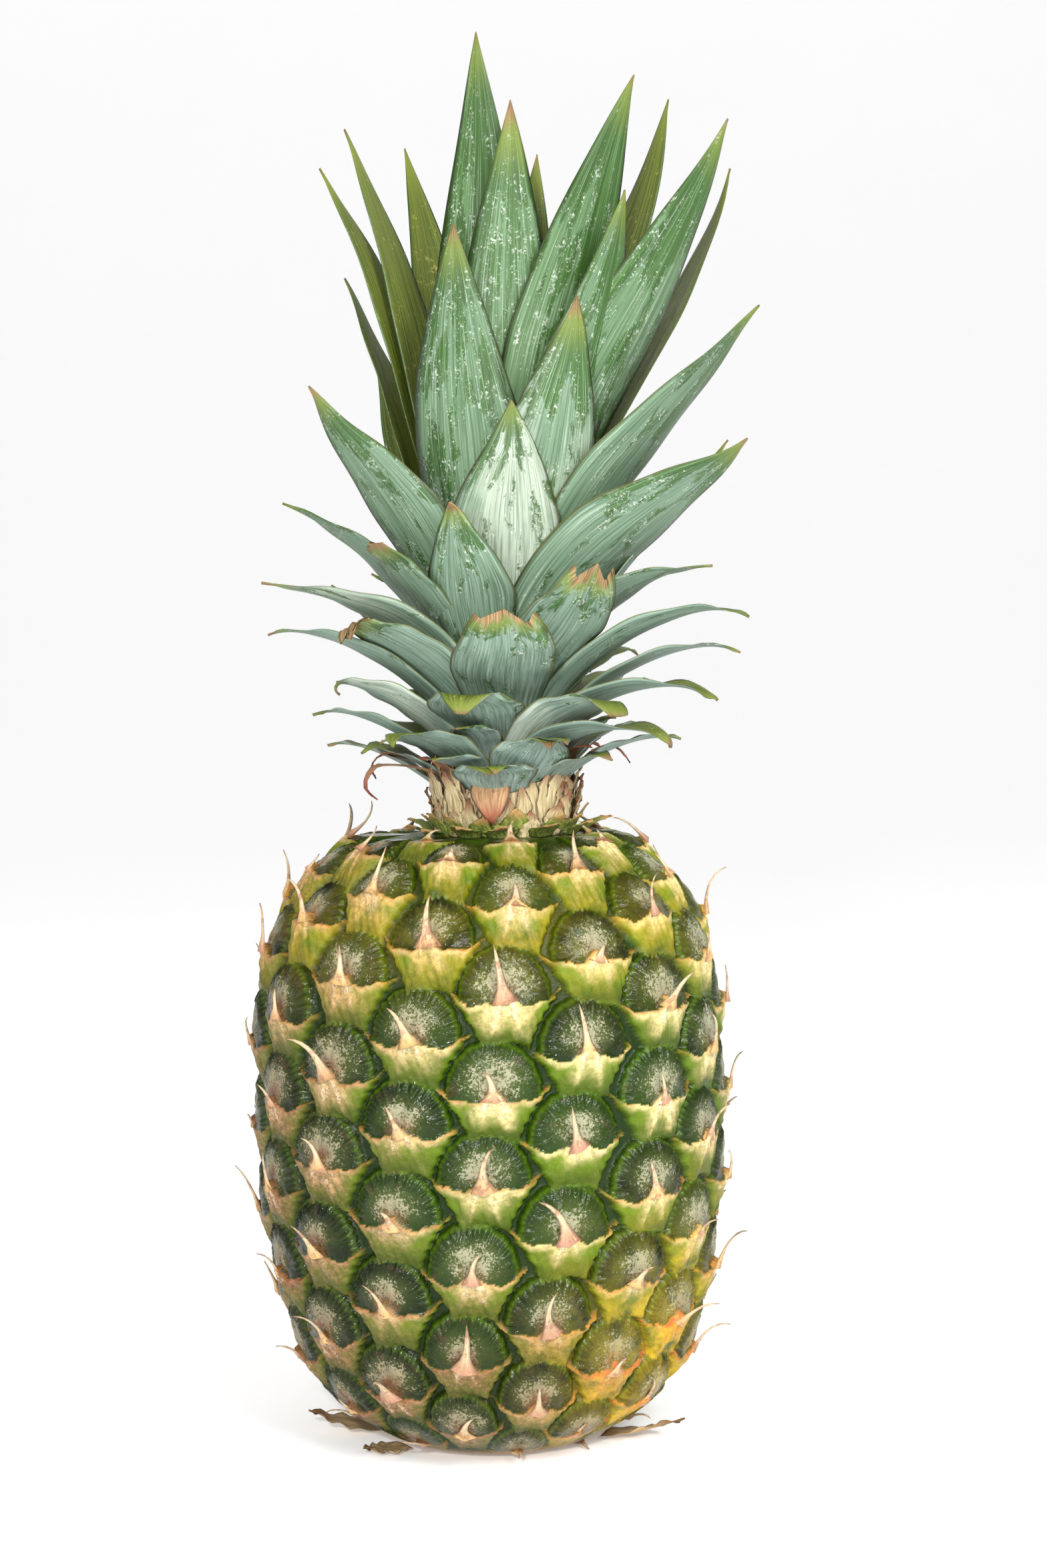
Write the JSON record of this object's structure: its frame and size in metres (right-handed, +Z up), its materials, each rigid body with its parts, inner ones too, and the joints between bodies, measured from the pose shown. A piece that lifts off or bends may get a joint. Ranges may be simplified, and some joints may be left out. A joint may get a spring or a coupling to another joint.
{
  "type": "pineapple",
  "caption": "Whole fresh pineapple with a raised spiral of eyes, dry bract spines, a dense crown of channelled leaves and a few dry leaves under its flat base.",
  "frame": {"origin": "centre of the small flat spot that the fruit stands on, at the surface under it", "axes": "+Z up along the fruit's axis through the crown, -Y the front, +X to the right seen from the front; the crown stands 5 mm towards +X"},
  "size_m": [0.1392, 0.132, 0.361],
  "materials": {
    "rind": "waxy green eyes over yellow-green mealy bracts with dry tan edges, patches of ripening yellow",
    "stem": "matte, fibrous, covered with papery straw-coloured scales",
    "green_leaf": "stiff green leaf with a grey waxy bloom outside, fine lengthwise ribs and brown dry tips",
    "dry_leaf": "dry, wrinkled, matte brown"
  },
  "bodies": {
    "root": {"fruit": "rind", "crown_stem": "stem", "leaf_01": "green_leaf", "leaf_02": "green_leaf", "leaf_03": "green_leaf", "leaf_04": "green_leaf", "leaf_05": "green_leaf", "leaf_06": "green_leaf", "leaf_07": "green_leaf", "leaf_08": "green_leaf", "leaf_09": "green_leaf", "leaf_10": "green_leaf", "leaf_11": "green_leaf", "leaf_12": "green_leaf", "leaf_13": "green_leaf", "leaf_14": "green_leaf", "leaf_15": "green_leaf", "leaf_16": "green_leaf", "leaf_17": "green_leaf", "leaf_18": "green_leaf", "leaf_19": "green_leaf", "leaf_20": "green_leaf", "leaf_21": "green_leaf", "leaf_22": "green_leaf", "leaf_23": "green_leaf", "leaf_24": "green_leaf", "leaf_25": "green_leaf", "leaf_26": "green_leaf", "leaf_27": "green_leaf", "leaf_28": "green_leaf", "leaf_29": "green_leaf", "leaf_30": "green_leaf", "leaf_31": "green_leaf", "leaf_32": "green_leaf", "leaf_33": "green_leaf", "leaf_34": "green_leaf", "leaf_35": "green_leaf", "leaf_36": "green_leaf", "leaf_37": "green_leaf", "leaf_38": "green_leaf", "leaf_39": "green_leaf", "leaf_40": "green_leaf", "leaf_41": "green_leaf", "leaf_42": "green_leaf", "leaf_43": "green_leaf", "leaf_44": "green_leaf", "leaf_45": "green_leaf", "leaf_46": "green_leaf", "leaf_47": "green_leaf", "leaf_48": "green_leaf", "leaf_49": "green_leaf", "leaf_50": "green_leaf", "leaf_51": "green_leaf", "leaf_52": "green_leaf", "leaf_53": "green_leaf", "leaf_54": "green_leaf", "basal_leaf_1": "dry_leaf", "basal_leaf_2": "dry_leaf", "basal_leaf_3": "dry_leaf", "basal_leaf_4": "dry_leaf"}
  },
  "joints": []
}
